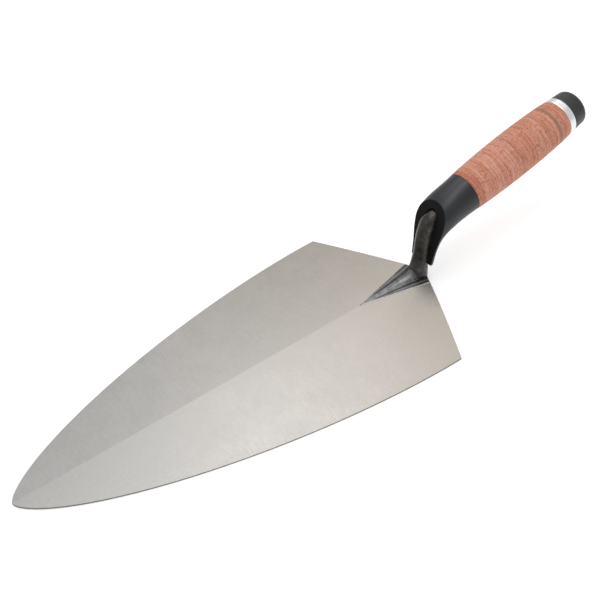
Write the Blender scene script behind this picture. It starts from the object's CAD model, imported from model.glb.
import bmesh
import bpy
import math
import numpy as np
from mathutils import Matrix, Vector, noise


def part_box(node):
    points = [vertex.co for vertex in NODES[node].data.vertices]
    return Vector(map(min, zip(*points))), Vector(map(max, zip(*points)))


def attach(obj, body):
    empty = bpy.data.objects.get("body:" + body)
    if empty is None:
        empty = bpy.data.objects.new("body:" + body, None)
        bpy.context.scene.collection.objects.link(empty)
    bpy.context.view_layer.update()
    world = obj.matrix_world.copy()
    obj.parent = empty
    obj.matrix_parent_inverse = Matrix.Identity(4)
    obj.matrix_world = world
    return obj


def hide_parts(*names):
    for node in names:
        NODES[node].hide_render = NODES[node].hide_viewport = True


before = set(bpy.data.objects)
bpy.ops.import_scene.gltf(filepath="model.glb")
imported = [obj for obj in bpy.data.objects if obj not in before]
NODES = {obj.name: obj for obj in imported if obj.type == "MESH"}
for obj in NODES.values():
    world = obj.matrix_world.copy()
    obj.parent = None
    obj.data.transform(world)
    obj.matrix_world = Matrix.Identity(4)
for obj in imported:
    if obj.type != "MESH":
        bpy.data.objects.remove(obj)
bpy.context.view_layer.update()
MM = 0.001

# ---------------------------------------------------------------- frame facts, in millimetres

HANDLE_ANGLE = math.radians(14)
DIR = np.array([-math.cos(HANDLE_ANGLE), 0, math.sin(HANDLE_ANGLE)])
UP = np.array([math.sin(HANDLE_ANGLE), 0, math.cos(HANDLE_ANGLE)])
SIDE = np.array([0.0, 1.0, 0.0])


def coords(me):
    co = np.zeros(len(me.vertices) * 3)
    me.vertices.foreach_get("co", co)
    return co.reshape(-1, 3)


def cad_points(node):
    return coords(NODES[node].data) / MM


def handle_start():
    """Where the leather begins on the handle's axis, which runs through the middle of the ring."""
    points = cad_points("end_ring")
    along = points @ DIR
    front = points[along < along.min() + 0.5]
    middle = (front.min(0) + front.max(0)) / 2
    leather_start = (cad_points("leather_washer_01") @ DIR).min()
    start = middle + (leather_start - middle @ DIR) * DIR
    start[1] = 0.0
    return start


JOINT = handle_start()


def on_axis(s):
    return JOINT + s * DIR


def span(node):
    """Start, end, and outer radius at the start and at the end of a turned node on the handle."""
    p = cad_points(node) - JOINT
    s = p @ DIR
    r = np.sqrt((p @ UP) ** 2 + (p @ SIDE) ** 2)
    lo, hi = s.min(), s.max()
    return lo, hi, r[s < lo + 0.02].max(), r[s > hi - 0.02].max()


WASHERS = sorted(n for n in NODES if n.startswith("leather_washer_"))
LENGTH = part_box("forging")[1].x / MM
WIDTH = (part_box("forging")[1].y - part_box("forging")[0].y) / MM

# ---------------------------------------------------------------- small helpers


def fix_normals(me):
    bm = bmesh.new()
    bm.from_mesh(me)
    bmesh.ops.recalc_face_normals(bm, faces=bm.faces)
    bm.to_mesh(me)
    bm.free()
    return me


def plain_mesh(name, verts, faces):
    me = bpy.data.meshes.new(name)
    me.from_pydata([tuple(v) for v in verts], [], faces)
    me.update()
    return me


def solid(name, verts, faces):
    """A closed mesh with its normals outwards."""
    return fix_normals(plain_mesh(name, verts, faces))


def shade(me, angle):
    """Smooth shading, with edges sharper than the angle kept crisp; 180 keeps none."""
    me.polygons.foreach_set("use_smooth", [True] * len(me.polygons))
    if angle < 180:
        me.set_sharp_from_angle(angle=math.radians(angle))
    return me


def new_object(name, me):
    ob = bpy.data.objects.new(name, me)
    bpy.context.scene.collection.objects.link(ob)
    return ob


def applied(ob):
    """The object's mesh with its modifiers, as a new mesh; the object goes away."""
    bpy.context.view_layer.update()
    dg = bpy.context.evaluated_depsgraph_get()
    me = bpy.data.meshes.new_from_object(ob.evaluated_get(dg))
    bpy.data.objects.remove(ob)
    return me


def boolean(ob, tool, operation):
    m = ob.modifiers.new("cut", "BOOLEAN")
    m.object = tool
    m.operation = operation
    m.solver = "EXACT"
    me = applied(ob)
    bpy.data.objects.remove(tool)
    return new_object("part", me)


def remeshed(ob, voxel, smooth):
    m = ob.modifiers.new("remesh", "REMESH")
    m.mode = "VOXEL"
    m.voxel_size = voxel
    s = ob.modifiers.new("smooth", "SMOOTH")
    s.factor = 0.5
    s.iterations = smooth
    return applied(ob)


def set_coords(me, co):
    me.vertices.foreach_set("co", np.asarray(co, float).ravel())
    me.update()


def to_metres(me):
    me.transform(Matrix.Scale(MM, 4))
    return me


def float_attribute(me, name, values):
    a = me.attributes.new(name, "FLOAT", "POINT")
    a.data.foreach_set("value", np.asarray(values, float))


def smoothstep(a, b, x):
    t = min(max((x - a) / (b - a), 0.0), 1.0)
    return t * t * (3 - 2 * t)


def bell(x, middle, width):
    return math.exp(-((x - middle) / width) ** 2)


def spline(a, b, c, d, f):
    """Smooth value between b and c at fraction f, with a before and d after them."""
    return b + 0.5 * f * (c - a + f * (2 * a - 5 * b + 4 * c - d + f * (3 * (b - c) + d - a)))


# ---------------------------------------------------------------- lofts (same stations as the CAD)

RING_POINTS = 96


def squircle(a, e):
    c, s = math.cos(a), math.sin(a)
    return (math.copysign(abs(c) ** (2 / e), c), math.copysign(abs(s) ** (2 / e), s))


def ring(p, tilt, hw, up, down, e):
    """Points round p = (x, z) in a plane that holds the Y axis and leans by tilt from +Z to +X."""
    t = math.radians(tilt)
    out = []
    for i in range(RING_POINTS):
        q = squircle(2 * math.pi * i / RING_POINTS, e)
        v = q[1] * up if q[1] > 0 else q[1] * down
        out.append((p[0] + v * math.sin(t), q[0] * hw, p[1] + v * math.cos(t)))
    return out


def station(rows, t, k):
    """Column k of the stations, smooth at t from 0 to the last one."""
    n = len(rows) - 1
    i = min(int(math.floor(t)), n - 1)
    f = t - i
    return spline(rows[max(i - 1, 0)][k], rows[i][k], rows[i + 1][k], rows[min(i + 2, n)][k], f)


def rings(rows, per, extra=0.0):
    """Rings through stations (x, z, tilt, half width, up, down, squareness), grown by extra."""
    out = []
    for j in range((len(rows) - 1) * per + 1):
        v = [station(rows, j / per, k) for k in range(7)]
        out.append(ring(v[:2], v[2], v[3] + extra, v[4] + extra, v[5] + extra, v[6]))
    return out


def skin(name, rows):
    n, m = len(rows[0]), len(rows)
    verts = [p for r in rows for p in r]
    faces = [tuple(range(n)), tuple(reversed(range((m - 1) * n, m * n)))]
    for j in range(m - 1):
        for i in range(n):
            k = (i + 1) % n
            faces.append((j * n + i, (j + 1) * n + i, (j + 1) * n + k, j * n + k))
    return solid(name, verts, faces)


# ---------------------------------------------------------------- blade

# Thickness on the ridge at the heel, at the heel corners and at the tip
RIDGE, CORNER, TIP = 2.5, 1.0, 1.3
# How far the heel corners stand forward of the heel's middle
SWEEP = 35.5
OUTLINE_RISE, OUTLINE_FALL = 1.64, 0.668
HEEL_CURVE = 0.08
HEEL_STEPS, SIDE_STEPS, TOP_COLUMNS = 40, 150, 8
TIP_FALL = (RIDGE - TIP) / LENGTH
SIDE_FALL = (RIDGE - CORNER - TIP_FALL * SWEEP) / (WIDTH / 2)
# Small chamfer along the cut edges
RIM = 0.14
WELD = 0.004


def face_z(x, y):
    return RIDGE - TIP_FALL * x - SIDE_FALL * abs(y)


def half_width(x):
    u = max((x - SWEEP) / (LENGTH - SWEEP), 0)
    return WIDTH / 2 * max(1 - u ** OUTLINE_RISE, 0) ** OUTLINE_FALL


def half_outline():
    """Right half of the outline: along the heel from the middle, then along the side to the tip."""
    pts = []
    for i in range(HEEL_STEPS):
        t = i / HEEL_STEPS
        pts.append((SWEEP * ((1 - HEEL_CURVE) * t + HEEL_CURVE * t * t), t * WIDTH / 2))
    for i in range(SIDE_STEPS):
        x = LENGTH - (LENGTH - SWEEP) * (1 - math.sin(math.pi / 2 * i / SIDE_STEPS))
        pts.append((x, half_width(x)))
    pts.append((LENGTH, 0.0))
    return pts


def inset(pts, d):
    """The closed outline, clockwise seen from above, moved inwards by d."""
    least_cosine = 0.45
    p = np.array(pts)
    before = p - np.roll(p, 1, axis=0)
    after = np.roll(p, -1, axis=0) - p
    before /= np.linalg.norm(before, axis=1)[:, None]
    after /= np.linalg.norm(after, axis=1)[:, None]
    n = np.stack([(before + after)[:, 1], -(before + after)[:, 0]], axis=1)
    n /= np.linalg.norm(n, axis=1)[:, None]
    cosine = np.clip(n[:, 0] * before[:, 1] - n[:, 1] * before[:, 0], least_cosine, 1)
    return p + n * (d / cosine)[:, None]


def blade_mesh():
    """Blade with chamfered edges, a flat underside and two top faces that meet in the ridge."""
    half = half_outline()
    mirror = [(x, -y) for x, y in half[1:-1]][::-1]
    outline = half + mirror
    count = len(outline)
    inner = inset(outline, RIM)
    tip = len(half) - 1
    inner[0][1] = 0.0
    inner[tip][1] = 0.0
    verts, faces = [], []

    def level(points, z):
        start = len(verts)
        for x, y in points:
            verts.append((x, y, z(x, y)))
        return start

    bottom_in = level(inner, lambda x, y: 0.0)
    bottom = level(outline, lambda x, y: RIM)
    top = level(outline, lambda x, y: face_z(x, y) - RIM)
    top_in = level(inner, face_z)
    for a, b in ((bottom_in, bottom), (bottom, top), (top, top_in)):
        for i in range(count):
            k = (i + 1) % count
            faces.append((a + i, a + k, b + k, b + i))

    def half_grid(order):
        """Rows of points from the ridge out to the rim. order: rim indices from heel to tip."""
        side_points = [inner[i] for i in order]
        first, rest = side_points[: HEEL_STEPS + 1], side_points[HEEL_STEPS:]
        x0, x1 = inner[0][0], inner[tip][0]
        grid = [[tuple(first[round(c / TOP_COLUMNS * HEEL_STEPS)]) for c in range(TOP_COLUMNS + 1)]]
        for j, p in enumerate(rest[1:], 1):
            rx = x0 + (x1 - x0) * (j / (len(rest) - 1))
            grid.append([(rx + (p[0] - rx) * (c / TOP_COLUMNS), p[1] * (c / TOP_COLUMNS))
                         for c in range(TOP_COLUMNS + 1)])
        return grid[:-1]

    for order in (list(range(tip + 1)), [0] + list(range(count - 1, tip - 1, -1))):
        grid = half_grid(order)
        for upper in (True, False):
            index = []
            for row in grid:
                index.append(range(len(verts), len(verts) + len(row)))
                verts.extend((x, y, face_z(x, y) if upper else 0.0) for x, y in row)
            verts.append((inner[tip][0], 0, face_z(inner[tip][0], 0) if upper else 0.0))
            last = len(verts) - 1
            for j, row in enumerate(index):
                for a, b, k in zip(row, row[1:], range(TOP_COLUMNS)):
                    if j == len(index) - 1:
                        faces.append((a, b, last))
                    else:
                        faces.append((a, b, index[j + 1][k + 1], index[j + 1][k]))
    me = plain_mesh("blade", verts, faces)
    bm = bmesh.new()
    bm.from_mesh(me)
    bmesh.ops.remove_doubles(bm, verts=bm.verts, dist=WELD)
    bmesh.ops.recalc_face_normals(bm, faces=bm.faces)
    bm.to_mesh(me)
    bm.free()
    return me


# ---------------------------------------------------------------- pad, root, shank and tang

# The unground pad: half width at the heel, where it ends, half width there, height above the faces
PAD_HALF, PAD_END, PAD_TIP, PAD_HEIGHT = 13.2, 52.5, 0.4, 0.35
# Its least height in the crease, the depth of its sunk border, and its underside inside the blade
PAD_LEAST, PAD_SINK, PAD_UNDERSIDE = 0.05, 0.25, 0.6
# Raised line and crease: place across the flange from border to root, width, height or depth
LINE_AT, LINE_WIDTH, LINE_HEIGHT = 0.5, 0.10, 0.12
CREASE_AT, CREASE_WIDTH, CREASE_DEPTH = 0.88, 0.14, 0.40
ROOT_GAP = 0.3


def pad_half(x):
    return PAD_HALF + (PAD_TIP - PAD_HALF) * x / PAD_END


def flange_fade(gap):
    """1 where the flange beside the root is wide, falling to 0 where it runs out."""
    return smoothstep(1.0, 3.0, gap)


def pad_height(edge, gap):
    """Height above the ground faces at a distance from the border, on a flange gap wide."""
    h = PAD_HEIGHT * smoothstep(-0.1, 0.55, edge) - PAD_SINK * (1 - smoothstep(0, 0.15, edge))
    if gap > 1.0:
        t = edge / gap
        h += LINE_HEIGHT * bell(t, LINE_AT, LINE_WIDTH) * flange_fade(gap)
        h -= CREASE_DEPTH * bell(t, CREASE_AT, CREASE_WIDTH) * flange_fade(gap)
        if edge > 0.5:
            h = max(h, PAD_LEAST)
    return h


def pad_mesh():
    """Unground triangle round the root: chamfered border, flat flange, thin raised line, crease."""
    rows, cols = 110, 72
    heel_margin = 0.12
    verts, faces = [], []
    for j in range(rows + 1):
        f = j / rows
        for c in range(cols + 1):
            v = -1 + 2 * c / cols
            v = math.copysign(abs(v) ** 0.8, v)
            heel_x = SWEEP * (1 - HEEL_CURVE) * abs(v) * PAD_HALF / (WIDTH / 2) + heel_margin
            x = heel_x + (PAD_END - heel_x) * f
            w = pad_half(x)
            y = v * w
            h = pad_height((1 - abs(v)) * w, w - root_half(x) - ROOT_GAP)
            h *= smoothstep(0, 0.006, f) * 0.6 + 0.4
            verts.append((x, y, face_z(x, y) + h))
    n = cols + 1
    top = len(verts)
    for k in range(top):
        verts.append((verts[k][0], verts[k][1], PAD_UNDERSIDE))
    for j in range(rows):
        for c in range(cols):
            a = j * n + c
            faces.append((a, a + n, a + n + 1, a + 1))
            faces.append((top + a, top + a + 1, top + a + n + 1, top + a + n))
    border = (list(range(n)) + [j * n + cols for j in range(1, rows + 1)]
              + [rows * n + c for c in range(cols - 1, -1, -1)]
              + [j * n for j in range(rows - 1, 0, -1)])
    for i, a in enumerate(border):
        b = border[(i + 1) % len(border)]
        faces.append((a, b, top + b, top + a))
    return solid("pad", verts, faces)


SHANK_R = 5.2
TANG_R = 3.5
NECK_R = TANG_R + 0.6
TANG_START = -24.0
_top = on_axis(TANG_START)
SHANK_PATH = [
    (_top[0], _top[2], 14, NECK_R, NECK_R, NECK_R, 2),
    (-4.0, 40.9, 26, SHANK_R - 0.6, SHANK_R - 0.8, SHANK_R - 0.7, 2),
    (-1.5, 39, 50, SHANK_R - 0.1, SHANK_R - 0.2, SHANK_R - 0.3, 2),
    (-0.1, 36.2, 66, SHANK_R, SHANK_R, SHANK_R, 2),
    (1.4, 31, 77, SHANK_R, SHANK_R, SHANK_R, 2),
    (2.5, 25, 81, SHANK_R, SHANK_R, SHANK_R, 2),
    (3.2, 18, 83, SHANK_R, SHANK_R, SHANK_R, 2),
    (4.3, 11.5, 84, 5.4, 5.4, 5.3, 2.1),
    (5.4, 5, 88, 6, 5.6, 5.8, 2.3),
    (5.6, 0.6, 90, 6.1, 4.6, 5.6, 2.6),
]
# The root runs from inside the shank to where it meets the ridge.
ROOT_BASE, ROOT_LENGTH = 6.6, 51.0
ROOT_START = ROOT_BASE - 1
# Height of its long slope, height of the fillet up to the shank, and the fillet's reach
ROOT_SLOPE, ROOT_FILLET, ROOT_FILLET_REACH = 3.1, 9.5, 4.2
# Half width at its tip, how much more it has at the shank, and the waist between
ROOT_TIP_HALF, ROOT_HALF, ROOT_WAIST = 0.4, 5.5, 1.2
# Its section: squareness, height of the middle, and how far it goes below that
ROOT_SQUARENESS, ROOT_MID_Z, ROOT_FOOT = 2.1, 0.8, 0.4
# Sections stand closer together near the shank.
ROOT_SPACING = 1.5


def root_rise(x):
    u = (x - ROOT_BASE) / (ROOT_LENGTH - ROOT_BASE)
    fillet = ROOT_FILLET * math.exp(-(x - ROOT_BASE) / ROOT_FILLET_REACH)
    return ROOT_SLOPE * (1 - u) ** 1.2 + fillet * (1 - u)


def root_width(u):
    """Half width of the root's section at u, from 0 at the shank to 1 at the tip."""
    return ROOT_TIP_HALF + ROOT_HALF * (1 - u) ** 0.95 - ROOT_WAIST * u * (1 - u)


def root_half(x):
    u = (min(max(x, ROOT_START), ROOT_LENGTH) - ROOT_START) / (ROOT_LENGTH - ROOT_START)
    return root_width(u ** (1 / ROOT_SPACING))


def root_rows():
    steps = 60
    out = []
    for j in range(steps + 1):
        u = j / steps
        x = ROOT_START + (ROOT_LENGTH - ROOT_START) * u ** ROOT_SPACING
        top = face_z(x, 0) + root_rise(max(x, ROOT_BASE)) * min(1, 1.02 - u)
        row = []
        for i in range(RING_POINTS):
            q = squircle(2 * math.pi * i / RING_POINTS, ROOT_SQUARENESS)
            height = top - ROOT_MID_Z if q[1] > 0 else ROOT_FOOT
            row.append((x, q[0] * root_width(u), ROOT_MID_Z + q[1] * height))
        out.append(row)
    return out


# Voxel size and smoothing steps where pieces of forging or moulding run together
NECK_VOXEL, NECK_SMOOTH = 0.26, 6
GUARD_VOXEL, GUARD_SMOOTH = 0.27, 9
# Hammered skin above the blade: (fineness, depth) of its broad and its fine dents
HAMMERED_FROM, HAMMER = 2.2, ((0.22, 0.05), (0.8, 0.012))
# The neck stays above the blade's underside, and its lower part forward of the heel edge.
NECK_LEAST_Z, NECK_LEAST_X, NECK_LOWER_PART = 0.25, 0.12, 5


def neck_mesh():
    """Shank and root as one forged piece with a hammered, slightly uneven skin."""
    shank = new_object("shank", skin("shank", rings(SHANK_PATH, 16)))
    root = new_object("root", skin("root", root_rows()))
    both = boolean(shank, root, "UNION")
    me = remeshed(both, NECK_VOXEL, NECK_SMOOTH)
    co = coords(me)
    normals = np.array([v.normal[:] for v in me.vertices])
    shift = np.zeros(len(co))
    for i, p in enumerate(co):
        if p[2] > HAMMERED_FROM:
            shift[i] = sum(noise.noise(Vector(p) * fineness) * depth for fineness, depth in HAMMER)
    co = co + normals * shift[:, None]
    co[:, 2] = np.maximum(co[:, 2], NECK_LEAST_Z)
    lower = co[:, 2] < NECK_LOWER_PART
    co[lower, 0] = np.maximum(co[lower, 0], NECK_LEAST_X)
    set_coords(me, co)
    return me


def lathe_mesh(name, profile, around):
    """A solid turned on the handle's axis. profile: (s, r) points, from the axis or a bore round to
    it again; a radius of 0 becomes one point."""
    verts, faces, index = [], [], []
    for s, r in profile:
        centre = on_axis(s)
        if r <= 1e-9:
            verts.append(centre)
            index.append([len(verts) - 1])
            continue
        ids = []
        for i in range(around):
            a = 2 * math.pi * i / around
            verts.append(centre + r * (math.cos(a) * UP + math.sin(a) * SIDE))
            ids.append(len(verts) - 1)
        index.append(ids)
    closed = profile[0][1] > 1e-9
    pairs = list(zip(index, index[1:]))
    if closed:
        pairs.append((index[-1], index[0]))
    for a, b in pairs:
        if len(a) == 1 and len(b) == 1:
            continue
        for i in range(around):
            k = (i + 1) % around
            if len(a) == 1:
                faces.append((a[0], b[i], b[k]))
            elif len(b) == 1:
                faces.append((a[i], b[0], a[k]))
            else:
                faces.append((a[i], b[i], b[k], a[k]))
    return solid(name, verts, faces)


def join(name, parts):
    """One object from several (mesh, material index) parts, in millimetres, turned to metres."""
    bm = bmesh.new()
    for me, slot_index in parts:
        start = len(bm.faces)
        bm.from_mesh(me)
        bm.faces.ensure_lookup_table()
        for f in bm.faces[start:]:
            f.material_index = slot_index
    me = bpy.data.meshes.new(name)
    bm.to_mesh(me)
    bm.free()
    return to_metres(me)


# ---------------------------------------------------------------- finger guard

_joint, _neck, _collar = on_axis(0), on_axis(-8), on_axis(-16)
GUARD_PATH = [
    (_joint[0], _joint[2], 14, 13, 13, 13, 2),
    (_neck[0], _neck[2], 14, 12.8, 12, 12.5, 2),
    (_collar[0], _collar[2], 15, 12.7, 10.7, 12, 2.1),
    (-10, 41.5, 24, 12.6, 10.4, 10.6, 2.2),
    (-4.6, 37.3, 42, 12.3, 11.2, 8, 2.2),
    (-0.8, 31, 62, 11.3, 11, 6, 2.1),
    (1.4, 22, 76, 9.8, 9, 6, 2),
    (2.6, 12.2, 82, 8.8, 7, 5.7, 1.9),
]
# The front face leans back by FACE_LEAN and curves from FACE_BEND (x, z) upwards.
FACE_LEAN, FACE_BEND, FACE_RADIUS = math.radians(10.4), (0.4, 28.0), 100.0
FACE_BLOCK, FACE_BLOCK_HALF = 60.0, 30.0
# How much wider than the shank the channel is cut, and the relief above it with its (x, y, z) shift
CHANNEL, RELIEF, RELIEF_SHIFT = -0.45, 0.1, (0.3, 0, 1.0)


def behind_face_mesh():
    """Block whose front is the guard's leaning face, curving back above the bend."""
    profile = [(-FACE_BLOCK, -FACE_BLOCK), (0.0, -FACE_BLOCK), (0.0, 0.0)]
    for i in range(1, 61):
        a = math.radians(i * 0.5)
        profile.append((FACE_RADIUS * (math.cos(a) - 1), FACE_RADIUS * math.sin(a)))
    profile.append((-FACE_BLOCK, profile[-1][1]))
    c, s = math.cos(FACE_LEAN), math.sin(FACE_LEAN)
    verts = []
    for y in (-FACE_BLOCK_HALF, FACE_BLOCK_HALF):
        for px, pz in profile:
            verts.append((FACE_BEND[0] + px * c - pz * s, y, FACE_BEND[1] + px * s + pz * c))
    n = len(profile)
    faces = [tuple(range(n)), tuple(reversed(range(n, 2 * n)))]
    for i in range(n):
        k = (i + 1) % n
        faces.append((i, n + i, n + k, k))
    return solid("face", verts, faces)


def guard_mesh():
    """The guard's body cut to its front face, with the shank's channel and the tang's bore."""
    body = new_object("guard", skin("guard", rings(GUARD_PATH, 12)))
    channel = skin("channel", rings(SHANK_PATH, 12, CHANNEL))
    relief = skin("relief", rings(SHANK_PATH[:5], 12, RELIEF))
    relief.transform(Matrix.Translation(RELIEF_SHIFT))
    start, end, r = -34, 10, TANG_R + 0.2
    bore = lathe_mesh("bore", [(start, 0), (start, r), (end, r), (end, 0)], 64)
    body = boolean(body, new_object("face", behind_face_mesh()), "INTERSECT")
    for tool in (channel, relief, bore):
        body = boolean(body, new_object("tool", tool), "DIFFERENCE")
    return remeshed(body, GUARD_VOXEL, GUARD_SMOOTH)


# ---------------------------------------------------------------- materials

STEEL_WARM, STEEL_COOL = (0.415, 0.383, 0.343), (0.50, 0.482, 0.463)
STEEL_TIP, STEEL_ROUGH = (0.475, 0.468, 0.456), 0.45
SCALE_DARK, SCALE_BROWN = (0.018, 0.0155, 0.0125), (0.034, 0.030, 0.025)
SCALE_GREY, SCALE_GLINT, SCALE_ROUGH = (0.07, 0.064, 0.056), (0.30, 0.295, 0.28), 0.32
SCALE_BLUE_DARK, SCALE_BLUE = (0.10, 0.10, 0.104), (0.19, 0.191, 0.197)
SCALE_BLUE_LIGHT, SCALE_WORN = (0.28, 0.281, 0.288), (0.34, 0.34, 0.335)
LEATHER_TONES = [(0.0, (0.36, 0.085, 0.034)), (0.5, (0.55, 0.225, 0.145)), (1.0, (0.64, 0.34, 0.26))]
LEATHER_LIGHT, LEATHER_DARK = (0.62, 0.345, 0.265), (0.22, 0.08, 0.05)
LEATHER_RED, LEATHER_SEAM = (0.40, 0.095, 0.035), (0.76, 0.47, 0.33)
LEATHER_OLIVE, LEATHER_GREY = (0.17, 0.125, 0.075), (0.46, 0.24, 0.19)


class Nodes:
    """A material's node tree with short calls for the nodes used here."""

    def __init__(self, name):
        self.mat = bpy.data.materials.new(name)
        self.mat.use_nodes = True
        self.tree = self.mat.node_tree
        self.shader = self.tree.nodes["Principled BSDF"]
        tc = self.tree.nodes.new("ShaderNodeTexCoord")
        self.object = tc.outputs["Object"]

    def put(self, socket, value):
        if isinstance(value, bpy.types.NodeSocket):
            self.tree.links.new(value, socket)
        elif value is not None:
            socket.default_value = value

    def set(self, **values):
        for key, value in values.items():
            self.put(self.shader.inputs[key.replace("_", " ")], value)

    def math(self, op, a, b):
        n = self.tree.nodes.new("ShaderNodeMath")
        n.operation = op
        self.put(n.inputs[0], a)
        self.put(n.inputs[1], b)
        return n.outputs[0]

    def weighted(self, *parts):
        """Sum of (value, weight) parts."""
        total = None
        for value, weight in parts:
            part = self.math("MULTIPLY", value, weight)
            total = part if total is None else self.math("ADD", total, part)
        return total

    def dot(self, v, axis):
        n = self.tree.nodes.new("ShaderNodeVectorMath")
        n.operation = "DOT_PRODUCT"
        self.put(n.inputs[0], v)
        n.inputs[1].default_value = tuple(axis)
        return n.outputs["Value"]

    def scaled(self, v, factors):
        n = self.tree.nodes.new("ShaderNodeVectorMath")
        n.operation = "MULTIPLY"
        self.put(n.inputs[0], v)
        n.inputs[1].default_value = factors
        return n.outputs[0]

    def vector(self, x, y, z):
        n = self.tree.nodes.new("ShaderNodeCombineXYZ")
        for socket, value in zip(n.inputs, (x, y, z)):
            self.put(socket, value)
        return n.outputs[0]

    def split(self, v):
        n = self.tree.nodes.new("ShaderNodeSeparateXYZ")
        self.put(n.inputs[0], v)
        return n.outputs

    def noise(self, v, scale, detail=3.0, rough=0.5):
        n = self.tree.nodes.new("ShaderNodeTexNoise")
        self.put(n.inputs["Vector"], v)
        n.inputs["Scale"].default_value = scale
        n.inputs["Detail"].default_value = detail
        n.inputs["Roughness"].default_value = rough
        return n.outputs["Fac"]

    def voronoi(self, v, scale):
        n = self.tree.nodes.new("ShaderNodeTexVoronoi")
        self.put(n.inputs["Vector"], v)
        n.inputs["Scale"].default_value = scale
        return n.outputs["Distance"]

    def span(self, value, a, b, lo=0.0, hi=1.0):
        n = self.tree.nodes.new("ShaderNodeMapRange")
        n.clamp = True
        self.put(n.inputs["Value"], value)
        for key, x in zip(("From Min", "From Max", "To Min", "To Max"), (a, b, lo, hi)):
            n.inputs[key].default_value = x
        return n.outputs["Result"]

    def ramp(self, value, stops):
        n = self.tree.nodes.new("ShaderNodeValToRGB")
        self.put(n.inputs["Fac"], value)
        e = n.color_ramp.elements
        while len(e) < len(stops):
            e.new(0.5)
        for i, (pos, colour) in enumerate(stops):
            e[i].position = pos
            e[i].color = (*colour, 1)
        return n.outputs["Color"]

    def mix(self, fac, a, b, blend="MIX"):
        n = self.tree.nodes.new("ShaderNodeMix")
        n.data_type = "RGBA"
        n.blend_type = blend
        self.put(n.inputs["Factor"], fac)
        self.put(n.inputs[6], (*a, 1) if isinstance(a, tuple) else a)
        self.put(n.inputs[7], (*b, 1) if isinstance(b, tuple) else b)
        return n.outputs[2]

    def attribute(self, name):
        n = self.tree.nodes.new("ShaderNodeAttribute")
        n.attribute_name = name
        return n.outputs["Fac"]

    def bump(self, height, distance, strength=1.0, under=None):
        n = self.tree.nodes.new("ShaderNodeBump")
        self.put(n.inputs["Height"], height)
        n.inputs["Distance"].default_value = distance
        n.inputs["Strength"].default_value = strength
        self.put(n.inputs["Normal"], under)
        return n.outputs["Normal"]


def ground_steel():
    """Blade faces: fine grinding grain across the blade, faint cloudy tone."""
    m = Nodes("ground_steel")
    grain = m.noise(m.scaled(m.object, (900.0, 160.0, 900.0)), 1.0, 4.0, 0.6)
    fine = m.noise(m.scaled(m.object, (3600.0, 500.0, 3600.0)), 1.0, 2.0, 0.5)
    cloud = m.noise(m.object, 60.0, 3.0, 0.55)
    speck = m.noise(m.scaled(m.object, (700.0, 1500.0, 1500.0)), 1.0, 2.0, 0.6)
    tone = m.weighted((grain, 0.4), (cloud, 0.3), (speck, 0.3))
    warm = m.ramp(m.span(m.split(m.object)["X"], 0.03, 0.24),
                  [(0.0, STEEL_WARM), (0.6, STEEL_COOL), (1.0, STEEL_TIP)])
    shade_of = m.ramp(m.span(tone, 0.42, 0.58), [(0.0, (0.90, 0.895, 0.885)), (1.0, (1, 1, 1))])
    colour = m.mix(1.0, warm, shade_of, "MULTIPLY")
    rough = m.span(m.weighted((grain, 0.6), (cloud, 0.4)),
                   0.35, 0.65, STEEL_ROUGH - 0.04, STEEL_ROUGH + 0.05)
    both = m.weighted((grain, 0.6), (fine, 0.4))
    m.set(Base_Color=colour, Metallic=0.8, Roughness=rough, Anisotropic=0.7,
          Tangent=m.vector(1.0, 0.0, 0.0), Normal=m.bump(both, 0.00002, 0.15))
    return m.mat


def rim_steel(name, low, high):
    """Cut edges: smoother steel with fine marks along the edge."""
    m = Nodes(name)
    line = m.noise(m.scaled(m.object, (900.0, 900.0, 4000.0)), 1.0, 3.0, 0.55)
    colour = m.ramp(line, [(0.3, low), (0.7, high)])
    m.set(Base_Color=colour, Metallic=1.0, Roughness=m.span(line, 0.3, 0.7, 0.26, 0.38),
          Normal=m.bump(line, 0.00003, 0.3))
    return m.mat


def scale_steel():
    """Forging scale: dark oxide, brown on the shank and blue-grey on the root, rubbed in spots."""
    m = Nodes("forging_scale")
    place = m.split(m.object)
    cloud = m.noise(m.object, 260.0, 4.0, 0.6)
    fine = m.noise(m.object, 1500.0, 3.0, 0.6)
    pits = m.voronoi(m.object, 900.0)
    brown = m.ramp(cloud, [(0.3, SCALE_DARK), (0.52, SCALE_BROWN), (0.75, SCALE_GREY)])
    blue = m.ramp(cloud, [(0.28, SCALE_BLUE_DARK), (0.5, SCALE_BLUE), (0.75, SCALE_BLUE_LIGHT)])
    low = m.span(place["Z"], 0.016, 0.006)
    forward = m.math("MULTIPLY", m.span(place["X"], 0.008, 0.020, 0.25, 1.0), low)
    base = m.mix(forward, brown, blue)
    glint = m.math("MULTIPLY", m.span(m.noise(m.object, 420.0, 2.0, 0.5), 0.58, 0.70), 0.5)
    base = m.mix(m.math("MULTIPLY", glint, m.span(forward, 0.0, 1.0, 0.25, 1.0)), base, SCALE_GLINT)
    base = m.mix(m.attribute("sooty"), base, SCALE_DARK)
    base = m.mix(m.math("MULTIPLY", m.attribute("worn"), 0.5), base, SCALE_WORN)
    rough = m.span(cloud, 0.3, 0.7, SCALE_ROUGH - 0.07, SCALE_ROUGH + 0.12)
    rough = m.math("ADD", rough, m.span(fine, 0.3, 0.7, -0.04, 0.04))
    pitted = m.bump(pits, 0.00010, 0.25)
    m.set(Base_Color=base, Metallic=0.5, Roughness=rough,
          Normal=m.bump(m.weighted((cloud, 0.5), (fine, 0.5)), 0.00018, 0.9, pitted))
    return m.mat


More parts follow.
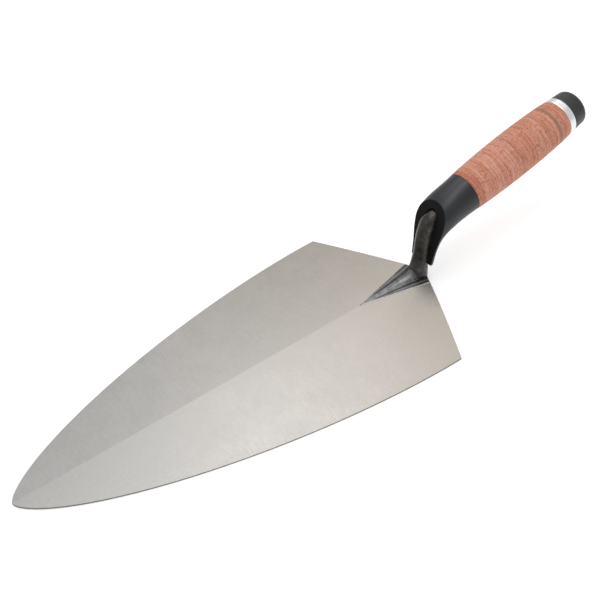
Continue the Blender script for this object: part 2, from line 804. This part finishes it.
def moulded_plastic(name, dark, light, rough, specular):
    """Black plastic with the fine texture of its mould."""
    m = Nodes(name)
    grain = m.noise(m.object, 2600.0, 2.0, 0.55)
    cloud = m.noise(m.object, 130.0, 3.0, 0.5)
    colour = m.ramp(m.weighted((cloud, 0.6), (grain, 0.4)), [(0.35, dark), (0.65, light)])
    m.set(Base_Color=colour, Roughness=m.span(cloud, 0.3, 0.7, rough - 0.03, rough + 0.04),
          IOR=1.46, Specular_IOR_Level=specular,
          Normal=m.bump(grain, 0.00006, 0.35))
    return m.mat


def leather():
    """Sanded leather edges under lacquer: thin fibre layers round the grip, red-brown mottling."""
    m = Nodes("leather_edges")
    wave = m.noise(m.object, 95.0, 2.0, 0.5)
    along = m.math("ADD", m.dot(m.object, DIR), m.math("MULTIPLY", wave, 0.0014))
    handle = m.vector(along, m.dot(m.object, SIDE), m.dot(m.object, UP))
    layers = m.noise(m.scaled(handle, (1500.0, 60.0, 60.0)), 1.0, 3.0, 0.65)
    fibres = m.noise(m.scaled(handle, (5200.0, 420.0, 420.0)), 1.0, 3.0, 0.6)
    mottle = m.noise(m.object, 520.0, 4.0, 0.62)
    spots = m.noise(m.object, 900.0, 3.0, 0.6)
    base = m.ramp(m.attribute("tone"), LEATHER_TONES)
    streak = m.weighted((layers, 0.6), (fibres, 0.4))
    base = m.mix(m.span(streak, 0.46, 0.64, 0.0, 0.8), base, LEATHER_LIGHT)
    base = m.mix(m.span(streak, 0.49, 0.33, 0.0, 0.8), base, LEATHER_DARK)
    grey = m.noise(m.object, 210.0, 3.0, 0.6)
    base = m.mix(m.span(grey, 0.48, 0.66, 0.0, 0.4), base, LEATHER_GREY)
    base = m.mix(m.span(mottle, 0.50, 0.68, 0.0, 0.6), base, LEATHER_RED)
    base = m.mix(m.span(spots, 0.56, 0.68, 0.0, 0.65), base, LEATHER_DARK)
    base = m.mix(m.attribute("pale"), base, LEATHER_SEAM)
    base = m.mix(m.attribute("dim"), base, LEATHER_OLIVE)
    rough = m.span(mottle, 0.3, 0.7, 0.5, 0.64)
    height = m.weighted((streak, 0.7), (spots, 0.3))
    m.set(Base_Color=base, Roughness=rough, IOR=1.5, Specular_IOR_Level=0.14,
          Coat_Weight=0.02, Coat_Roughness=0.25, Coat_IOR=1.5,
          Normal=m.bump(height, 0.00012, 0.5))
    return m.mat


def turned_metal(name, lo, hi, rough, s_scale):
    """Metal with turning marks round the handle's axis."""
    m = Nodes(name)
    s = m.dot(m.object, DIR)
    line = m.noise(m.vector(m.math("MULTIPLY", s, s_scale), 0.0, 0.0), 1.0, 3.0, 0.6)
    smear = m.noise(m.object, 500.0, 3.0, 0.5)
    colour = m.ramp(m.weighted((line, 0.6), (smear, 0.4)), [(0.35, lo), (0.65, hi)])
    m.set(Base_Color=colour, Metallic=1.0, Roughness=m.span(smear, 0.3, 0.7, rough, rough + 0.1),
          Normal=m.bump(line, 0.00003, 0.35))
    return m.mat


steel = ground_steel()
rim = rim_steel("cut_rim", (0.15, 0.145, 0.135), (0.24, 0.23, 0.215))
pad_edge = rim_steel("pad_edge", (0.52, 0.51, 0.50), (0.68, 0.67, 0.65))
scale = scale_steel()
guard_black = moulded_plastic("guard_plastic", (0.011, 0.012, 0.0145), (0.018, 0.0197, 0.0238),
                              0.40, 0.46)
face_black = moulded_plastic("guard_face", (0.007, 0.007, 0.007), (0.011, 0.011, 0.011), 0.7, 0.12)
cap_black = moulded_plastic("cap_plastic", (0.016, 0.0166, 0.017), (0.025, 0.026, 0.0266), 0.40, 0.5)
leather_mat = leather()
aluminium = turned_metal("turned_aluminium", (0.74, 0.74, 0.75), (0.86, 0.86, 0.86), 0.27, 9000.0)
zinc = turned_metal("zinc_plate", (0.50, 0.50, 0.47), (0.66, 0.66, 0.65), 0.30, 2500.0)

# ---------------------------------------------------------------- the pieces

# Forging: blade, pad, shank with root, and tang
blade = blade_mesh()
last_s = span("tang_nut")[1] + 0.5
tang = lathe_mesh("tang", [(TANG_START - 1, 0), (TANG_START - 1, TANG_R - 0.3),
                           (TANG_START - 0.7, TANG_R), (last_s - 0.5, TANG_R),
                           (last_s, TANG_R - 0.5), (last_s, 0)], 64)
forging_mesh = join("forging", [(blade, 0), (pad_mesh(), 1), (neck_mesh(), 1), (tang, 1)])
# The pad's raised line is worn bright, and the crease beside the root is darker than the flange.
LINE_WORN_WIDTH = 0.07
SOOT_AT, SOOT_WIDTH, FLANGE_SOOT, FLANGE_SOOT_TO = 0.86, 0.13, 0.45, 0.8
PAD_SKIN = 0.9
worn, sooty = [], []
for v in forging_mesh.vertices:
    c = v.co / MM
    edge = pad_half(c.x) - abs(c.y)
    gap = pad_half(c.x) - root_half(c.x) - ROOT_GAP
    on_pad = 0 < c.x < PAD_END and gap > 1 and 0 < edge < gap and c.z < face_z(c.x, c.y) + PAD_SKIN
    t = edge / gap if on_pad else 0.0
    fade = flange_fade(gap) if on_pad else 0.0
    worn.append(fade * bell(t, LINE_AT, LINE_WORN_WIDTH))
    sooty.append(fade * max(bell(t, SOOT_AT, SOOT_WIDTH), FLANGE_SOOT if t < FLANGE_SOOT_TO else 0.0))
float_attribute(forging_mesh, "worn", worn)
float_attribute(forging_mesh, "sooty", sooty)
for mat in (steel, scale, rim, pad_edge):
    forging_mesh.materials.append(mat)
shade(forging_mesh, 28)
# The low ridge down the blade is too flat an angle to stay crisp by itself.
RIDGE_FROM, ON_RIDGE = PAD_END - 3, 0.01
for ridge_edge in forging_mesh.edges:
    ends = [forging_mesh.vertices[i].co / MM for i in ridge_edge.vertices]
    if all(abs(v.y) < ON_RIDGE and v.z > TIP * 0.8 and v.x > RIDGE_FROM for v in ends):
        ridge_edge.use_edge_sharp = True
# The blade's cut rim is darker than its faces, and the border of the pad is brighter than the pad.
BORDER_WIDTH, BORDER_LOW, BORDER_HIGH, BORDER_INNER_Y = 0.5, 0.8, 3.2, 0.35
OFF_FACE, OFF_UNDERSIDE = 0.03, 0.02
for poly in forging_mesh.polygons:
    c = poly.center / MM
    if poly.material_index == 0 and poly.normal.z > -0.5:
        if abs(c.z - face_z(c.x, c.y)) > OFF_FACE and c.z > OFF_UNDERSIDE:
            poly.material_index = 2
    if poly.material_index == 1 and BORDER_LOW < c.z < BORDER_HIGH:
        if c.x < PAD_END and abs(c.y) > BORDER_INNER_Y and pad_half(c.x) - abs(c.y) < BORDER_WIDTH:
            poly.material_index = 3
forging = new_object("forged_blade", forging_mesh)
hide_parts("forging")
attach(forging, "root")

guard = new_object("guard_sleeve", to_metres(guard_mesh()))
shade(guard.data, 180)
guard.data.materials.append(guard_black)
guard.data.materials.append(face_black)
# The front face is duller than the sleeve.
FACE_FORWARD = 0.80
for poly in guard.data.polygons:
    if poly.normal.x * math.cos(FACE_LEAN) + poly.normal.z * math.sin(FACE_LEAN) > FACE_FORWARD:
        poly.material_index = 1
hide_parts("finger_guard")
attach(guard, "root")

# Leather: one piece for each washer, on a smooth barrel through the washers' own radii
spans = [span(n) for n in WASHERS]
knots = [spans[0][0]] + [s[1] for s in spans]
radii = [spans[0][2]] + [s[3] for s in spans]
BORE_R = 3.7


def barrel(s):
    """Outer radius of the leather at s, smooth through the washers' edges."""
    i = min(max(int(np.searchsorted(knots, s)) - 1, 0), len(knots) - 2)
    f = (s - knots[i]) / (knots[i + 1] - knots[i])
    return spline(radii[max(i - 1, 0)], radii[i], radii[i + 1], radii[min(i + 2, len(radii) - 1)], f)


# How light each washer is, from 0 to 1, from the guard to the ring
TONES = [0.18, 0.42, 0.62, 0.5, 0.72, 0.55, 0.5, 0.64, 0.68, 0.44,
         0.5, 0.46, 0.38, 0.5, 0.5, 0.42, 0.46, 0.5, 0.34, 0.5]
# Pale glue line at each washer's far edge: how strong it shows
PALE = [0.15, 0.85, 0.2, 0.6, 0.8, 0.45, 0.4, 0.6, 0.15, 0.1,
        0.3, 0.25, 0.55, 0.2, 0.6, 0.15, 0.7, 0.35, 0.2, 0.0]
# Greyer, duller bands: washer number, start and end across it, strength
DIM = {10: (0.15, 0.85, 0.14), 18: (0.35, 0.95, 0.62), 14: (0.0, 0.3, 0.25), 16: (0.2, 0.5, 0.3)}
# Fractions of a washer's thickness: the seam line on each side of the seam, and a band's soft edge
SEAM_WIDTH, SEAM_WIDTH_IN, DIM_SOFT = 0.105, 0.055, 0.1


def washer_mesh(number, name):
    """One washer with grooved edges, and its tone, seam line and dull band as attributes."""
    s0, s1, _, _ = spans[number - 1]
    around, rows = 144, 18
    edge, groove = 0.22, 0.07
    stations = [0.0, edge * 0.35, edge]
    stations += list(np.linspace(edge, s1 - s0 - edge, rows)[1:-1])
    stations += [s1 - s0 - edge, s1 - s0 - edge * 0.35, s1 - s0]
    profile = [(s0, BORE_R)]
    drop = {0: groove, len(stations) - 1: groove, 1: groove * 0.25, len(stations) - 2: groove * 0.25}
    for i, d in enumerate(stations):
        profile.append((s0 + d, barrel(s0 + d) - drop.get(i, 0) - 0.02))
    profile.append((s1, BORE_R))
    me = lathe_mesh(name, profile, around)
    co = coords(me)
    rel = co - JOINT
    s = rel @ DIR
    radial = rel - np.outer(s, DIR)
    r = np.linalg.norm(radial, axis=1)
    outer = r > BORE_R + 3
    tone = np.full(len(co), TONES[number - 1])
    pale = np.zeros(len(co))
    dim = np.zeros(len(co))
    for i in range(len(co)):
        if not outer[i]:
            continue
        q = Vector(co[i])
        dent = noise.noise(q * 0.35 + Vector((number * 7.0, 0, 0))) * 0.02
        dent += noise.noise(q * 1.6) * 0.012 - 0.014
        co[i] += radial[i] / r[i] * dent
        along = (s[i] - s0) / (s1 - s0)
        wander = noise.noise(q * 0.12) * 0.10
        line = bell(1.0 + wander - along, 0, SEAM_WIDTH)
        previous = PALE[number - 2] if number > 1 else 0.0
        line_in = bell(along - wander, 0, SEAM_WIDTH_IN)
        broken = 0.65 + 0.5 * noise.noise(q * 0.3)
        pale[i] = max(PALE[number - 1] * line, previous * line_in * 0.8) * broken
        tone[i] += 0.16 * noise.noise(q * 0.16) + 0.10 * math.sin(along * 6.0 + number * 2.3)
        if number in DIM:
            a, b, k = DIM[number]
            starts = smoothstep(a - DIM_SOFT, a + DIM_SOFT, along)
            ends_at = smoothstep(b - DIM_SOFT, b + DIM_SOFT, along)
            dim[i] = k * starts * (1 - ends_at)
    set_coords(me, co)
    float_attribute(me, "tone", np.clip(tone, 0, 1))
    float_attribute(me, "pale", np.clip(pale, 0, 1))
    float_attribute(me, "dim", np.clip(dim, 0, 1))
    to_metres(me)
    return shade(me, 40)


for number, node in enumerate(WASHERS, 1):
    piece = new_object(f"washer_{number:02d}", washer_mesh(number, node))
    piece.data.materials.append(leather_mat)
    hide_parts(node)
    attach(piece, "root")

# Aluminium ring
r0, r1, ra, rb = span("end_ring")
ring_profile = [(r0, BORE_R), (r0, ra - 0.30), (r0 + 0.08, ra - 0.10), (r0 + 0.30, ra - 0.01)]
ring_profile += [(r0 + 0.3 + (r1 - r0 - 0.6) * i / 8, ra - 0.01 + (rb - ra) * i / 8) for i in range(1, 8)]
ring_profile += [(r1 - 0.30, rb - 0.01), (r1 - 0.08, rb - 0.10), (r1, rb - 0.30), (r1, BORE_R)]
alu_ring = new_object("aluminium_ring", to_metres(lathe_mesh("ring", ring_profile, 192)))
shade(alu_ring.data, 40)
alu_ring.data.materials.append(aluminium)
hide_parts("end_ring")
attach(alu_ring, "root")

# End cap: rounded end, small edge break at the ring, pocket inside
c0, c1, ca, _ = span("end_cap")
ROUND, TAPER, POCKET_R, FLOOR = 3.4, 0.6, 8.2, 3.0
end_r = ca - TAPER
cap_profile = [(c1 - FLOOR, 0.0), (c1 - FLOOR, POCKET_R - 0.5), (c1 - FLOOR - 0.5, POCKET_R)]
cap_profile += [(c0, POCKET_R), (c0, ca - 0.35), (c0 + 0.08, ca - 0.14), (c0 + 0.35, ca - 0.015)]
cap_profile += [(c0 + 0.35 + (c1 - ROUND - c0 - 0.35) * i / 8,
                 ca - 0.015 + (end_r - ca) * i / 8) for i in range(1, 8)]
for i in range(17):
    a = math.pi / 2 * i / 16
    cap_profile.append((c1 - ROUND + ROUND * math.sin(a), end_r - 0.015 - ROUND * (1 - math.cos(a))))
cap_profile += [(c1, 6.0), (c1, 2.4), (c1 - 0.12, 2.1), (c1 - 0.12, 0.0)]
cap = new_object("rounded_cap", to_metres(lathe_mesh("cap", cap_profile, 192)))
shade(cap.data, 40)
cap.data.materials.append(cap_black)
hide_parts("end_cap")
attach(cap, "root")

# The clamp washer and the nut inside the cap keep their CAD shapes.
for node in ("clamp_washer", "tang_nut"):
    me = NODES[node].data
    me.materials.clear()
    me.materials.append(zinc)

# ---------------------------------------------------------------- floor, light and camera

FLOOR_HALF, FLOOR_Z = 6, -0.0002
corners = [(x * FLOOR_HALF, y * FLOOR_HALF, FLOOR_Z) for x, y in ((-1, -1), (1, -1), (1, 1), (-1, 1))]
floor_mesh = shade(plain_mesh("floor", corners, [(0, 1, 2, 3)]), 35)
floor = new_object("floor", floor_mesh)
fm = Nodes("floor_white")
fm.set(Base_Color=(0.62, 0.62, 0.62, 1), Roughness=0.9, Specular_IOR_Level=0.1,
       Emission_Color=(1, 1, 1, 1), Emission_Strength=0.5)
floor_mesh.materials.append(fm.mat)

world = bpy.data.worlds.new("studio")
bpy.context.scene.world = world
world.use_nodes = True
world.node_tree.nodes["Background"].inputs["Color"].default_value = (1, 1, 1, 1)
world.node_tree.nodes["Background"].inputs["Strength"].default_value = 0.70


def area(name, place, target, size, power):
    light = bpy.data.lights.new(name, "AREA")
    light.shape = "RECTANGLE"
    light.size = size
    light.size_y = size
    light.energy = power
    ob = new_object(name, light)
    ob.location = place
    ob.rotation_euler = (Vector(target) - Vector(place)).to_track_quat("-Z", "Y").to_euler()


# A softbox overhead, and a smaller one behind the blade that its right face mirrors.
area("overhead", (-0.02, 0.08, 1.2), (-0.02, 0.08, 0), 0.42, 3.7)
area("behind", (-0.307, -0.677, 1.258), (0.15, 0, 0), 0.5, 3.7)

# The photo's viewing angle: where the camera stands, where it looks, which way is up, focal length
CAMERA_PLACE = Vector((0.30247, 0.30417, 0.36726))
CAMERA_LOOK = Vector((-0.41462, -0.61203, -0.67343))
CAMERA_UP = Vector((-0.43369, -0.51769, 0.73751))
CAMERA_LENS = 52.74
camera_data = bpy.data.cameras.new("camera")
camera_data.sensor_width = 36.0
camera_data.lens = CAMERA_LENS
camera_data.clip_start = 0.01
camera = new_object("camera", camera_data)
look = CAMERA_LOOK.normalized()
top = CAMERA_UP.normalized()
right = look.cross(top).normalized()
top = right.cross(look).normalized()
pose = Matrix((right, top, -look)).transposed().to_4x4()
pose.translation = CAMERA_PLACE
camera.matrix_world = pose
bpy.context.scene.camera = camera

bpy.context.scene.view_settings.view_transform = "Standard"
bpy.context.scene.view_settings.look = "None"

bpy.context.view_layer.update()
